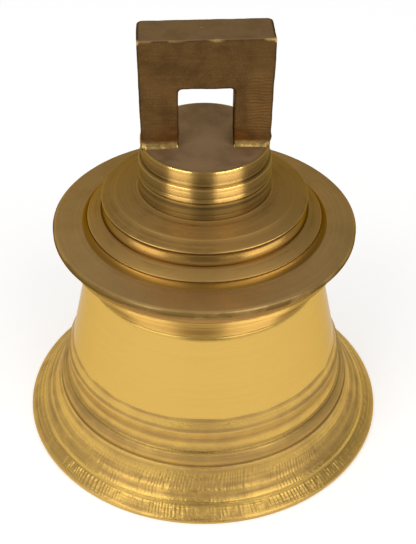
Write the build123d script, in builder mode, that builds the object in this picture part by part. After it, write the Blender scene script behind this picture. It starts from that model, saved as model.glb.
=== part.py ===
from build123d import *

import os
from math import cos, hypot, radians, sin, sqrt, tan

# Temple bell, 8 inch mouth, hung from a square lug, with a swivelling clapper inside.
# Millimetres.  Z runs up the bell's axis from the plane of the mouth.  The lug is wide
# along X and thin along Y; -Y is the front.
#
# The body is a turned shell.  Two stepped rings and a wide flange ring stand on it, and
# six screws from inside draw them all together.  The hanger head is one casting: a lug
# with a square slot, a round boss and a spigot that carries two neck rings.  A stud
# screwed up into the spigot is nutted under the upper step.  The stud's thin lower end
# carries a yoke that turns freely, and the clapper swings on the yoke's pin.

# ---------------------------------------------------------------- driving dimensions

MOUTH_D = 200.0             # across the lip
TOTAL_H = 230.5             # mouth plane to the top of the lug

# Heights of the seats where one piece stands on the next
SHOULDER_Z = 114.0          # top of the shell
FLANGE_TOP_Z = 126.0        # flange ring, lower step sits here
LOWER_STEP_TOP_Z = 133.0    # upper step sits here
UPPER_STEP_TOP_Z = 146.0    # neck sits here
NECK_SPLIT_Z = 155.3        # between the two neck rings
BOSS_Z = 164.0              # underside of the hanger's boss
BOSS_TOP_Z = 173.2          # floor of the lug's slot

# Radii of the visible steps
WAIST_LOW_R, WAIST_LOW_Z = 73.1, 49.4       # foot of the plain cone
WAIST_TOP_R, WAIST_TOP_Z = 63.0, 95.6       # scribed line at the top of the cone
SHOULDER_R = 72.9
FLANGE_R = 78.7
LOWER_STEP_R = 63.7
UPPER_STEP_R = 53.6
LOWER_NECK_R = 33.8
UPPER_NECK_R = 33.5
BOSS_R = 32.3

# Lug
LUG_TOP_W = 64.5
LUG_FOOT_W = 62.8
LUG_T = 22.0
SLOT_W = 26.5
SLOT_TOP_Z = 205.5

# Inside
CROWN_Z = 108.0             # underside of the shell's crown ring
CROWN_HOLE_R = 36.0
SPIGOT_R = 18.0
RECESS_R = 30.0             # pocket under the upper step, for the nut and the yoke
RECESS_Z = 139.0
SCREW_COUNT = 6
SCREW_PITCH_R = 43.5
SCREW_R = 3.0               # M6 cap screws, 30 long
SCREW_LENGTH = 30.0
SCREW_HEAD_R = 5.0
SCREW_HEAD_H = 6.0
SCREW_SEAT_Z = 110.0        # bottom of the counterbore in the crown ring
STUD_R = 8.0                # M16
JOURNAL_R = 5.0             # the stud's lower end, M10 at its tip
FREE_GAP = 0.2              # between faces that turn on each other
RUNNING_GAP = 0.06          # radial, pin or journal in its bore
FIT_GAP = 0.05              # radial, screw in its thread

# Clapper
PIVOT_Z = 95.5
HUB_R = 8.0
PIN_R = 3.0
BALL_R = 22.0
BALL_Z = 26.0
STRIKE_GAP = 0.4            # ball to wall at the end of the swing

LIP_R = MOUTH_D / 2


def export(part, name):
    """Label a finished piece and write it as its own STEP file."""
    part.label = name
    export_step(part, f"parts/{name}.step")


def washer(outer_r, inner_r, bottom_z, thickness):
    """A flat ring with lightly chamfered outer edges."""
    with BuildPart() as ring:
        with BuildSketch(Plane.XY.offset(bottom_z)):
            Circle(outer_r)
            Circle(inner_r, mode=Mode.SUBTRACT)
        extrude(amount=thickness)
        outer_edges = ring.edges().filter_by(GeomType.CIRCLE).group_by(SortBy.RADIUS)[-1]
        chamfer(outer_edges, length=0.2 * thickness)
    return ring.part


def hex_nut(across_flats, hole_r, bottom_z, height):
    """A hexagon nut whose corners are turned off at 30 degrees at both ends."""
    corner_r = across_flats / sqrt(3)
    cone_drop = (corner_r - across_flats / 2) * tan(radians(30))
    with BuildPart() as nut:
        with BuildSketch(Plane.XY.offset(bottom_z)):
            RegularPolygon(corner_r, 6, rotation=30)
            Circle(hole_r, mode=Mode.SUBTRACT)
        extrude(amount=height)
        with BuildSketch(Plane.XZ):
            with BuildLine():
                Polyline(
                    (hole_r, bottom_z),
                    (across_flats / 2, bottom_z),
                    (corner_r, bottom_z + cone_drop),
                    (corner_r, bottom_z + height - cone_drop),
                    (across_flats / 2, bottom_z + height),
                    (hole_r, bottom_z + height),
                    close=True,
                )
            make_face()
        revolve(axis=Axis.Z, mode=Mode.INTERSECT)
    return nut.part


def split_pin(centre, direction, radius, reach, eye_r):
    """A split pin: a round shank along direction, with a ring eye at its start."""
    shank_plane = Plane(origin=centre, z_dir=direction)
    across = shank_plane.x_dir
    eye_centre = Vector(*centre) - shank_plane.z_dir * (reach + eye_r)
    with BuildPart() as pin:
        with BuildSketch(shank_plane.offset(-reach)):
            Circle(radius)
        extrude(amount=2 * reach)
        with BuildSketch(Plane(origin=eye_centre + across * eye_r, z_dir=shank_plane.z_dir)):
            Circle(0.7 * radius)
        revolve(axis=Axis(eye_centre, across.cross(shank_plane.z_dir)))
    return pin.part


os.makedirs("parts", exist_ok=True)

# ---------------------------------------------------------------- shell

LIP_FLAT_R = LIP_R - 1.5            # outer edge of the flat the bell rests on
LIP_INNER_R = 91.0
INNER_WALL = [                      # from the mouth up to the crown ring's corner
    (90.3, 0.9),
    (84.5, 9.0),
    (75.2, 22.0),
    (69.6, 33.0),
    (67.0, 47.0),
    (57.0, 95.0),
    (55.5, CROWN_Z - 6.0),
]
CROWN_CORNER_R = INNER_WALL[-1][0] - 6.0

with BuildPart() as bell_shell:
    with BuildSketch(Plane.XZ):
        with BuildLine():
            Line((LIP_INNER_R, 0), (LIP_FLAT_R, 0))
            RadiusArc((LIP_FLAT_R, 0), (LIP_R, 1.5), radius=-1.5)
            RadiusArc((LIP_R, 1.5), (LIP_R - 0.9, 3.0), radius=-1.8)
            Line((LIP_R - 0.9, 3.0), (92.7, 8.4))
            # the flare hollows slightly on its way up to the bead
            ThreePointArc((92.7, 8.4), (86.2, 15.4), (81.4, 23.2))
            Line((81.4, 23.2), (80.6, 23.8))
            ThreePointArc((80.6, 23.8), (80.9, 27.2), (78.6, 30.2))
            Line((78.6, 30.2), (77.7, 31.2))
            ThreePointArc((77.7, 31.2), (76.2, 36.8), (75.6, 42.2))
            ThreePointArc((75.6, 42.2), (75.7, 43.4), (74.9, 44.4))
            Line((74.9, 44.4), (73.7, 48.9))
            Line((73.7, 48.9), (WAIST_LOW_R, WAIST_LOW_Z))
            Line((WAIST_LOW_R, WAIST_LOW_Z), (WAIST_TOP_R, WAIST_TOP_Z))
            # a scribed line, a small step, then the cove under the flange
            Polyline((WAIST_TOP_R, WAIST_TOP_Z), (62.6, 96.0), (62.8, 96.5), (62.5, 97.6))
            Line((62.5, 97.6), (63.8, 98.2))
            ThreePointArc((63.8, 98.2), (66.8, 107.0), (SHOULDER_R, SHOULDER_Z))
            Line((SHOULDER_R, SHOULDER_Z), (CROWN_HOLE_R, SHOULDER_Z))
            Line((CROWN_HOLE_R, SHOULDER_Z), (CROWN_HOLE_R, CROWN_Z))
            Line((CROWN_HOLE_R, CROWN_Z), (CROWN_CORNER_R, CROWN_Z))
            TangentArc((CROWN_CORNER_R, CROWN_Z), INNER_WALL[-1], tangent=(1, 0))
            Polyline(*reversed(INNER_WALL))
            Line(INNER_WALL[0], (LIP_INNER_R, 0))
        make_face()
    revolve(axis=Axis.Z)
    with BuildSketch(Plane.XY.offset(CROWN_Z)):
        with PolarLocations(SCREW_PITCH_R, SCREW_COUNT):
            Circle(SCREW_R + 0.3)
    extrude(amount=SHOULDER_Z - CROWN_Z, mode=Mode.SUBTRACT)
    with BuildSketch(Plane.XY.offset(CROWN_Z)):
        with PolarLocations(SCREW_PITCH_R, SCREW_COUNT):
            Circle(SCREW_HEAD_R + 0.5)
    extrude(amount=SCREW_SEAT_Z - CROWN_Z, mode=Mode.SUBTRACT)
export(bell_shell.part, "bell_shell")

# ---------------------------------------------------------------- crown rings

RIM_LOW_Z = 121.4                   # lower edge of the flange's thin rim
RIM_TOP_Z = 125.1
GROOVE_IN_R, GROOVE_OUT_R = 50.0, 67.0      # cored groove that lightens the flange
GROOVE_TOP_Z = 120.5

with BuildPart() as shoulder_flange:
    with BuildSketch(Plane.XZ):
        with BuildLine():
            Polyline(
                (CROWN_HOLE_R, SHOULDER_Z),
                (GROOVE_IN_R, SHOULDER_Z),
                (GROOVE_IN_R + 1.5, GROOVE_TOP_Z),
                (GROOVE_OUT_R - 1.5, GROOVE_TOP_Z),
                (GROOVE_OUT_R, SHOULDER_Z),
                (SHOULDER_R, SHOULDER_Z),
            )
            ThreePointArc((SHOULDER_R, SHOULDER_Z), (74.6, 118.4), (FLANGE_R - 0.3, RIM_LOW_Z))
            Polyline(
                (FLANGE_R - 0.3, RIM_LOW_Z),
                (FLANGE_R, RIM_LOW_Z + 0.3),
                (FLANGE_R, RIM_TOP_Z - 0.9),
                (FLANGE_R - 0.3, RIM_TOP_Z - 0.2),
                (FLANGE_R - 1.0, RIM_TOP_Z),
            )
            Polyline(
                (FLANGE_R - 1.0, RIM_TOP_Z),
                (LOWER_STEP_R, FLANGE_TOP_Z),
                (CROWN_HOLE_R, FLANGE_TOP_Z),
                (CROWN_HOLE_R, SHOULDER_Z),
            )
        make_face()
    revolve(axis=Axis.Z)
    with BuildSketch(Plane.XY.offset(SHOULDER_Z)):
        with PolarLocations(SCREW_PITCH_R, SCREW_COUNT):
            Circle(SCREW_R + 0.3)
    extrude(amount=FLANGE_TOP_Z - SHOULDER_Z, mode=Mode.SUBTRACT)
export(shoulder_flange.part, "shoulder_flange")

with BuildPart() as lower_step:
    with BuildSketch(Plane.XZ):
        with BuildLine():
            Line((CROWN_HOLE_R, FLANGE_TOP_Z), (LOWER_STEP_R, FLANGE_TOP_Z))
            ThreePointArc((LOWER_STEP_R, FLANGE_TOP_Z), (61.2, 127.2), (60.4, 129.0))
            Polyline(
                (60.4, 129.0),
                (60.8, 129.4),
                (UPPER_STEP_R, LOWER_STEP_TOP_Z),
                (CROWN_HOLE_R, LOWER_STEP_TOP_Z),
                (CROWN_HOLE_R, FLANGE_TOP_Z),
            )
        make_face()
    revolve(axis=Axis.Z)
    with BuildSketch(Plane.XY.offset(FLANGE_TOP_Z)):
        with PolarLocations(SCREW_PITCH_R, SCREW_COUNT):
            Circle(SCREW_R + 0.3)
    extrude(amount=LOWER_STEP_TOP_Z - FLANGE_TOP_Z, mode=Mode.SUBTRACT)
export(lower_step.part, "lower_step")

SCREW_TIP_Z = SCREW_SEAT_Z + SCREW_LENGTH
STUD_CLEARANCE_R = STUD_R + 0.3

with BuildPart() as upper_step:
    with BuildSketch(Plane.XZ):
        with BuildLine():
            Line((RECESS_R, LOWER_STEP_TOP_Z), (UPPER_STEP_R, LOWER_STEP_TOP_Z))
            ThreePointArc((UPPER_STEP_R, LOWER_STEP_TOP_Z), (52.5, 134.4), (52.1, 136.4))
            ThreePointArc((52.1, 136.4), (52.3, 138.4), (52.8, 139.6))
            ThreePointArc((52.8, 139.6), (53.2, 140.7), (52.1, 141.4))
            Polyline(
                (52.1, 141.4),
                (46.5, 143.1),
                (46.0, 143.6),
                (LOWER_NECK_R, UPPER_STEP_TOP_Z),
                (STUD_CLEARANCE_R, UPPER_STEP_TOP_Z),
                (STUD_CLEARANCE_R, RECESS_Z),
                (RECESS_R, RECESS_Z),
                (RECESS_R, LOWER_STEP_TOP_Z),
            )
        make_face()
    revolve(axis=Axis.Z)
    with BuildSketch(Plane.XY.offset(LOWER_STEP_TOP_Z)):
        with PolarLocations(SCREW_PITCH_R, SCREW_COUNT):
            Circle(SCREW_R + FIT_GAP)
    extrude(amount=SCREW_TIP_Z + 1.0 - LOWER_STEP_TOP_Z, mode=Mode.SUBTRACT)
export(upper_step.part, "upper_step")

with BuildPart() as crown_screws:
    with BuildSketch(Plane.XY.offset(SCREW_SEAT_Z - SCREW_HEAD_H)):
        with PolarLocations(SCREW_PITCH_R, SCREW_COUNT):
            Circle(SCREW_HEAD_R)
    extrude(amount=SCREW_HEAD_H)
    with BuildSketch(Plane.XY.offset(SCREW_SEAT_Z)):
        with PolarLocations(SCREW_PITCH_R, SCREW_COUNT):
            Circle(SCREW_R)
    extrude(amount=SCREW_LENGTH)
    with BuildSketch(Plane.XY.offset(SCREW_SEAT_Z - SCREW_HEAD_H)):
        with PolarLocations(SCREW_PITCH_R, SCREW_COUNT):
            RegularPolygon(2.5, 6, major_radius=False)
    extrude(amount=0.5 * SCREW_HEAD_H, mode=Mode.SUBTRACT)
export(crown_screws.part, "crown_screws")

# ---------------------------------------------------------------- neck and hanger

NECK_BORE_R = SPIGOT_R + 0.2
NECK_BEVEL = 1.3                    # upper edge of each ring, which makes the grooves


def neck_ring(outer_r, bottom_z, top_z):
    """A turned ring on the spigot, bevelled at its upper edge."""
    with BuildPart() as ring:
        with BuildSketch(Plane.XZ):
            with BuildLine():
                Polyline(
                    (NECK_BORE_R, bottom_z),
                    (outer_r - 0.4, bottom_z),
                    (outer_r, bottom_z + 0.4),
                    (outer_r, top_z - NECK_BEVEL),
                    (outer_r - NECK_BEVEL, top_z),
                    (NECK_BORE_R, top_z),
                    close=True,
                )
            make_face()
        revolve(axis=Axis.Z)
    return ring.part


export(neck_ring(LOWER_NECK_R, UPPER_STEP_TOP_Z, NECK_SPLIT_Z), "lower_neck_ring")
export(neck_ring(UPPER_NECK_R, NECK_SPLIT_Z, BOSS_Z), "upper_neck_ring")

STUD_TOP_Z = 168.0
LUG_TOP_HALF = LUG_TOP_W / 2
LUG_FOOT_HALF = LUG_FOOT_W / 2
SLOT_HALF = SLOT_W / 2
LEG_ROOT_Z = BOSS_TOP_Z - 0.6       # the legs grow out of the boss
FOOT_BEVEL = 2.2

with BuildPart() as hanger_head:
    # the lug, narrower at its feet, with its back corners rounded
    with BuildSketch(Plane.XZ) as lug_face:
        with BuildLine():
            Polyline(
                (-LUG_FOOT_HALF, LEG_ROOT_Z),
                (-LUG_TOP_HALF, TOTAL_H),
                (LUG_TOP_HALF, TOTAL_H),
                (LUG_FOOT_HALF, LEG_ROOT_Z),
                close=True,
            )
        make_face()
        with Locations((0, (LEG_ROOT_Z + SLOT_TOP_Z) / 2)):
            Rectangle(SLOT_W, SLOT_TOP_Z - LEG_ROOT_Z, mode=Mode.SUBTRACT)
        slot_corners = lug_face.vertices().filter_by(lambda v: abs(v.Y - SLOT_TOP_Z) < 0.01)
        fillet(slot_corners, radius=2.0)
    extrude(amount=LUG_T / 2, both=True)
    outer_back = hanger_head.edges().filter_by(
        lambda e: e.center().Y > LUG_T / 2 - 0.1 and e.length > 50 and abs(e.center().X) > LUG_FOOT_HALF
    )
    fillet(outer_back, radius=3.0)
    fillet(hanger_head.faces().sort_by(Axis.Z)[-1].edges(), radius=0.8)
    # boss and spigot, turned, with a blind tapped hole from below
    with BuildSketch(Plane.XZ):
        with BuildLine():
            Polyline(
                (STUD_R, UPPER_STEP_TOP_Z),
                (SPIGOT_R, UPPER_STEP_TOP_Z),
                (SPIGOT_R, BOSS_Z),
                (BOSS_R - 0.9, BOSS_Z),
                (BOSS_R - 0.5, BOSS_Z + 0.4),
                (BOSS_R, BOSS_TOP_Z - 0.8),
                (BOSS_R - 0.6, BOSS_TOP_Z),
                (0, BOSS_TOP_Z),
                (0, STUD_TOP_Z + 1.0),
                (STUD_R, STUD_TOP_Z + 1.0),
                close=True,
            )
        make_face()
    revolve(axis=Axis.Z)
    # bevelled welds at the front and back of each foot
    for face_sign in (-1, 1):
        for leg_sign in (-1, 1):
            inner_x = leg_sign * SLOT_HALF
            outer_x = leg_sign * (LUG_FOOT_HALF - 4.5)
            with BuildSketch(Plane.YZ.offset(min(inner_x, outer_x))):
                with BuildLine():
                    Polyline(
                        (face_sign * (LUG_T / 2 - 0.5), BOSS_TOP_Z - 0.5),
                        (face_sign * (LUG_T / 2 + FOOT_BEVEL), BOSS_TOP_Z - 0.5),
                        (face_sign * (LUG_T / 2 + FOOT_BEVEL), BOSS_TOP_Z),
                        (face_sign * LUG_T / 2, BOSS_TOP_Z + FOOT_BEVEL),
                        (face_sign * (LUG_T / 2 - 0.5), BOSS_TOP_Z + FOOT_BEVEL),
                        close=True,
                    )
                make_face()
            extrude(amount=abs(outer_x - inner_x))
export(hanger_head.part, "hanger_head")

# ---------------------------------------------------------------- stud, nuts and yoke

CROWN_WASHER_T = 3.0
CROWN_NUT_H = 13.0
CROWN_NUT_Z = RECESS_Z - CROWN_WASHER_T - CROWN_NUT_H      # underside of the nut
YOKE_BAR_T = 6.0
YOKE_TOP_Z = CROWN_NUT_Z - 2 * FREE_GAP
YOKE_BAR_Z = YOKE_TOP_Z - YOKE_BAR_T
THRUST_WASHER_T = 1.6
THRUST_WASHER_Z = YOKE_BAR_Z - FREE_GAP - THRUST_WASHER_T
END_NUT_H = 9.0
END_NUT_Z = THRUST_WASHER_Z - END_NUT_H
STUD_END_Z = END_NUT_Z - 1.2
SPLIT_PIN_Z = END_NUT_Z + 2.2
SPLIT_PIN_R = 1.1

with BuildPart() as hanger_stud:
    with BuildSketch(Plane.XZ):
        with BuildLine():
            Polyline(
                (0, STUD_END_Z),
                (JOURNAL_R - 1.0, STUD_END_Z),
                (JOURNAL_R, STUD_END_Z + 1.0),
                (JOURNAL_R, CROWN_NUT_Z - 0.2),
                (STUD_R - 0.9, CROWN_NUT_Z - 0.2),
                (STUD_R - FIT_GAP, CROWN_NUT_Z + 0.65),
                (STUD_R - FIT_GAP, STUD_TOP_Z - 1.0),
                (STUD_R - 1.0, STUD_TOP_Z),
                (0, STUD_TOP_Z),
                close=True,
            )
        make_face()
    revolve(axis=Axis.Z)
    with BuildSketch(Plane.YZ.offset(-2 * JOURNAL_R)):
        with Locations((0, SPLIT_PIN_Z)):
            Circle(SPLIT_PIN_R + 0.1)
    extrude(amount=4 * JOURNAL_R, mode=Mode.SUBTRACT)
export(hanger_stud.part, "hanger_stud")

export(washer(15.0, STUD_CLEARANCE_R, RECESS_Z - CROWN_WASHER_T, CROWN_WASHER_T), "crown_washer")
export(hex_nut(24.0, STUD_R, CROWN_NUT_Z, CROWN_NUT_H), "crown_nut")
export(washer(9.6, JOURNAL_R + 0.2, THRUST_WASHER_Z, THRUST_WASHER_T), "thrust_washer")

SLOT_DEPTH = 4.0                    # slots of the castle nut, open at its lower end

with BuildPart() as end_nut:
    add(hex_nut(16.0, JOURNAL_R + FIT_GAP, END_NUT_Z, END_NUT_H))
    for turn in (0, 60, 120):
        slot_plane = Plane(origin=(0, 0, END_NUT_Z), x_dir=(cos(radians(turn)), sin(radians(turn)), 0))
        with BuildSketch(slot_plane):
            Rectangle(22.0, 2 * SPLIT_PIN_R + 0.8)
        extrude(amount=SLOT_DEPTH, mode=Mode.SUBTRACT)
export(end_nut.part, "end_nut")
export(split_pin((0, 0, SPLIT_PIN_Z), (1, 0, 0), SPLIT_PIN_R, 8.4, 1.5), "end_nut_pin")

YOKE_INNER_Y = 13.5
YOKE_LEG_T = 4.0
YOKE_OUTER_Y = YOKE_INNER_Y + YOKE_LEG_T
YOKE_HALF_W = 8.0

with BuildPart() as clapper_yoke:
    # the strap's bent section, drawn across the pin
    with BuildSketch(Plane.YZ.offset(-YOKE_HALF_W)) as strap:
        with BuildLine():
            Polyline(
                (-YOKE_OUTER_Y, PIVOT_Z - YOKE_HALF_W),
                (-YOKE_OUTER_Y, YOKE_TOP_Z),
                (YOKE_OUTER_Y, YOKE_TOP_Z),
                (YOKE_OUTER_Y, PIVOT_Z - YOKE_HALF_W),
                (YOKE_INNER_Y, PIVOT_Z - YOKE_HALF_W),
                (YOKE_INNER_Y, YOKE_BAR_Z),
                (-YOKE_INNER_Y, YOKE_BAR_Z),
                (-YOKE_INNER_Y, PIVOT_Z - YOKE_HALF_W),
                close=True,
            )
        make_face()
        fillet(strap.vertices().group_by(Axis.Y)[-1], radius=3.5)
    extrude(amount=2 * YOKE_HALF_W)
    leg_tip_edges = clapper_yoke.edges().filter_by(Axis.Y).group_by(Axis.Z)[0]
    fillet(leg_tip_edges, radius=YOKE_HALF_W - 0.1)
    with BuildSketch(Plane.XY.offset(YOKE_BAR_Z)):
        Circle(JOURNAL_R + RUNNING_GAP)
    extrude(amount=YOKE_BAR_T, mode=Mode.SUBTRACT)
    with BuildSketch(Plane.XZ.offset(-YOKE_OUTER_Y)):
        with Locations((0, PIVOT_Z)):
            Circle(PIN_R + FIT_GAP)
    extrude(amount=2 * YOKE_OUTER_Y, mode=Mode.SUBTRACT)
export(clapper_yoke.part, "clapper_yoke")

PIN_HEAD_R, PIN_HEAD_T = 5.0, 2.5
PIN_TIP_Y = YOKE_OUTER_Y + 5.0
PIN_COTTER_Y = YOKE_OUTER_Y + 2.4
COTTER_R = 0.9

with BuildPart() as clevis_pin:
    with BuildSketch(Plane.XZ.offset(YOKE_OUTER_Y)):
        with Locations((0, PIVOT_Z)):
            Circle(PIN_R)
    extrude(amount=-(YOKE_OUTER_Y + PIN_TIP_Y))
    chamfer(clevis_pin.edges().group_by(Axis.Y)[-1], length=0.7)
    with BuildSketch(Plane.XZ.offset(YOKE_OUTER_Y)):
        with Locations((0, PIVOT_Z)):
            Circle(PIN_HEAD_R)
    extrude(amount=PIN_HEAD_T)
    fillet(clevis_pin.edges().group_by(Axis.Y)[0], radius=0.9)
    with BuildSketch(Plane.YZ.offset(-2 * PIN_R)):
        with Locations((PIN_COTTER_Y, PIVOT_Z)):
            Circle(COTTER_R + 0.1)
    extrude(amount=4 * PIN_R, mode=Mode.SUBTRACT)
export(clevis_pin.part, "clevis_pin")
export(split_pin((0, PIN_COTTER_Y, PIVOT_Z), (1, 0, 0), COTTER_R, 6.0, 1.8), "clevis_pin_cotter")

# ---------------------------------------------------------------- clapper

HUB_HALF = YOKE_INNER_Y - 0.4       # the hub fits between the yoke's legs
BUSH_R = 5.0
BUSH_LENGTH = 8.0
BUSH_FLANGE_R = 6.6
BALL_FLAT_R = 10.0                  # flat on top of the ball, under the nut
BALL_FLAT_Z = BALL_Z + sqrt(BALL_R**2 - BALL_FLAT_R**2)
BALL_NUT_H = 6.0
ROD_THREAD_R = 5.0
ROD_TIP_Z = BALL_Z - 8.0
COLLAR_Z = BALL_FLAT_Z + BALL_NUT_H + 1.5

with BuildPart() as clapper_rod:
    with BuildSketch(Plane.XZ):
        with BuildLine():
            Polyline(
                (0, ROD_TIP_Z),
                (ROD_THREAD_R - 0.8 - FIT_GAP, ROD_TIP_Z),
                (ROD_THREAD_R - FIT_GAP, ROD_TIP_Z + 0.8),
                (ROD_THREAD_R - FIT_GAP, COLLAR_Z),
                (7.4, COLLAR_Z + 1.0),
                (7.4, COLLAR_Z + 3.0),
                (6.4, COLLAR_Z + 4.2),
                (5.2, PIVOT_Z - HUB_R + 1.0),
                (4.0, PIVOT_Z),
                (0, PIVOT_Z),
                close=True,
            )
        make_face()
    revolve(axis=Axis.Z)
    with BuildSketch(Plane.XZ.offset(-HUB_HALF)):
        with Locations((0, PIVOT_Z)):
            Circle(HUB_R)
    extrude(amount=2 * HUB_HALF)
    with BuildSketch(Plane.XZ.offset(-HUB_HALF)):
        with Locations((0, PIVOT_Z)):
            Circle(BUSH_R)
    extrude(amount=2 * HUB_HALF, mode=Mode.SUBTRACT)
export(clapper_rod.part, "clapper_rod")


def hub_bush(side):
    """A plain bronze bush, pushed into one end of the hub (side is -1 or 1)."""
    with BuildPart() as bush:
        with BuildSketch(Plane.XZ.offset(-side * HUB_HALF)):
            with Locations((0, PIVOT_Z)):
                Circle(BUSH_R - 0.02)
                Circle(PIN_R + RUNNING_GAP, mode=Mode.SUBTRACT)
        extrude(amount=side * BUSH_LENGTH)
    return bush.part


export(hub_bush(-1), "front_hub_bush")
export(hub_bush(1), "rear_hub_bush")

with BuildPart() as clapper_ball:
    with BuildSketch(Plane.XZ):
        with BuildLine():
            Line((0, BALL_Z - BALL_R), (0, ROD_TIP_Z - 2.0))
            Polyline(
                (0, ROD_TIP_Z - 2.0),
                (ROD_THREAD_R, ROD_TIP_Z - 2.0),
                (ROD_THREAD_R, BALL_FLAT_Z),
                (BALL_FLAT_R, BALL_FLAT_Z),
            )
            ThreePointArc((BALL_FLAT_R, BALL_FLAT_Z), (BALL_R, BALL_Z), (0, BALL_Z - BALL_R))
        make_face()
    revolve(axis=Axis.Z)
export(clapper_ball.part, "clapper_ball")
export(hex_nut(17.0, ROD_THREAD_R, BALL_FLAT_Z, BALL_NUT_H), "ball_lock_nut")

# ---------------------------------------------------------------- swing


def wall_distance(x, z):
    """Distance from a point to the shell's inner wall, in the plane of the swing."""
    best = hypot(x, z)
    for (r0, z0), (r1, z1) in zip(INNER_WALL, INNER_WALL[1:]):
        along = ((x - r0) * (r1 - r0) + (z - z0) * (z1 - z0)) / ((r1 - r0) ** 2 + (z1 - z0) ** 2)
        along = min(1.0, max(0.0, along))
        best = min(best, hypot(x - r0 - along * (r1 - r0), z - z0 - along * (z1 - z0)))
    return best


swing_length = PIVOT_Z - BALL_Z
swing_deg = 0.0
while True:
    next_deg = swing_deg + 0.01
    ball_x = swing_length * sin(radians(next_deg))
    ball_z = PIVOT_Z - swing_length * cos(radians(next_deg))
    if wall_distance(ball_x, ball_z) < BALL_R + STRIKE_GAP:
        break
    swing_deg = next_deg
print(f"clapper swings {swing_deg:.2f} degrees to either side, pivot at z {PIVOT_Z}")
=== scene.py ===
from math import cos, pi, radians, sin

import bmesh
import bpy
import numpy as np
from mathutils import Matrix, Vector, noise


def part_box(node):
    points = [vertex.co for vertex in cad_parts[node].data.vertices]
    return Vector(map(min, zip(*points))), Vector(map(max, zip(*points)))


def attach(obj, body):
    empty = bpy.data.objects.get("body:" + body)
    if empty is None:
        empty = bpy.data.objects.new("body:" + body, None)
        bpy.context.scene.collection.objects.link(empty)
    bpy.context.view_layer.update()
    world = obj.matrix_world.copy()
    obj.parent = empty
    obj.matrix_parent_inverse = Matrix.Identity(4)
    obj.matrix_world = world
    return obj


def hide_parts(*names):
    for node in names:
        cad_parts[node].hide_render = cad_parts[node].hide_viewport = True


# The looks of the temple bell.  Lengths in the outlines are millimetres, as in the CAD
# model, and become metres when a mesh is made.  Z is the bell's axis, -Y its front.

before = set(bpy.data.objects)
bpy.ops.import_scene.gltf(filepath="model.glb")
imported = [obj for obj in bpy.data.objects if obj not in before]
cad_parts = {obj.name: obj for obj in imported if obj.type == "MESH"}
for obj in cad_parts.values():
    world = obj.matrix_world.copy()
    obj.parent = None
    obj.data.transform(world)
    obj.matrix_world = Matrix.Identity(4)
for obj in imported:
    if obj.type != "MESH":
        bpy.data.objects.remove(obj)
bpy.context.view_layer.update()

MM = 0.001
rng = np.random.default_rng(11)


def low_mm(node):
    """A CAD node's lowest corner, in millimetres."""
    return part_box(node)[0] / MM


def high_mm(node):
    """A CAD node's highest corner, in millimetres."""
    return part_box(node)[1] / MM


# ---------------------------------------------------------------- sizes from the frame

LIP_R = high_mm("bell_shell").x
SHOULDER_Z = high_mm("bell_shell").z
FLANGE_R = high_mm("shoulder_flange").x
FLANGE_Z = high_mm("shoulder_flange").z
LOWER_STEP_R = high_mm("lower_step").x
LOWER_STEP_Z = high_mm("lower_step").z
UPPER_STEP_R = high_mm("upper_step").x
UPPER_STEP_Z = high_mm("upper_step").z
LOWER_NECK_R = high_mm("lower_neck_ring").x
NECK_SPLIT_Z = high_mm("lower_neck_ring").z
UPPER_NECK_R = high_mm("upper_neck_ring").x
BOSS_Z = high_mm("upper_neck_ring").z
LUG_HALF_W = high_mm("hanger_head").x
TOP_Z = high_mm("hanger_head").z

# ---------------------------------------------------------------- turned pieces


class Outline:
    """A turned profile, drawn as runs between (r, z) corners, in millimetres."""

    def __init__(self, r, z):
        self.runs = [np.array([[r, z]], float)]
        self.corners = []

    def to(self, r, z, corner=0.0, bulge=0.0):
        """A run to (r, z); bulge is how far its middle stands off to the right of travel."""
        start = self.runs[-1][-1]
        end = np.array([r, z], float)
        chord = end - start
        length = np.hypot(*chord)
        steps = 2 + int(length / 0.25) if bulge else 1
        t = np.linspace(0, 1, steps + 1)[1:, None]
        side = np.array([chord[1], -chord[0]]) / length
        self.runs.append(start + t * chord + 4 * bulge * t * (1 - t) * side)
        if corner:
            self.corners.append((len(self.runs), corner))
        return self

    def sampled(self, step, fine=()):
        """Points along the closed profile, its marked corners rounded, steps apart.

        fine holds (z0, z1, step) spans of the outer face that need another step.
        """
        runs = self.runs + [self.runs[0]]
        path = np.concatenate(runs)
        along = np.concatenate([[0], np.cumsum(np.hypot(*np.diff(path, axis=0).T))])
        run_ends = np.cumsum([len(run) for run in runs]) - 1
        stops = along[run_ends]
        rounded = []
        for run_index, radius in self.corners:
            rounded.append((stops[run_index - 1], radius))
        places = [stops]
        for start, end in zip(stops, stops[1:]):
            middle = np.interp((start + end) / 2, along, path[:, 1])
            run_step = step
            for z0, z1, fine_step in fine:
                if z0 < middle < z1:
                    run_step = fine_step
            count = max(1, int(np.ceil((end - start) / run_step)))
            places.append(np.linspace(start, end, count + 1))
        for centre, radius in rounded:
            places.append(centre + radius * np.array([-1, -0.35, 0.35, 1]))
        places = np.unique(np.concatenate(places).round(4))
        for centre, _ in rounded:
            places = places[abs(places - centre) > 1e-3]
        places = places[(places >= 0) & (places <= along[-1])]
        keep = np.concatenate([[True], np.diff(places) > 0.045])
        places = places[keep]

        def at(s):
            return np.array([np.interp(s, along, path[:, 0]), np.interp(s, along, path[:, 1])])

        points = []
        for s in places:
            point = at(s)
            for centre, radius in rounded:
                if abs(s - centre) < radius:
                    t = (s - centre + radius) / (2 * radius)
                    before, after = at(centre - radius), at(centre + radius)
                    point = (1 - t) ** 2 * before + 2 * t * (1 - t) * at(centre) + t**2 * after
            points.append(point)
        points = np.array(points)
        if np.hypot(*(points[0] - points[-1])) < 0.05:
            points = points[:-1]
        return points


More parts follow.
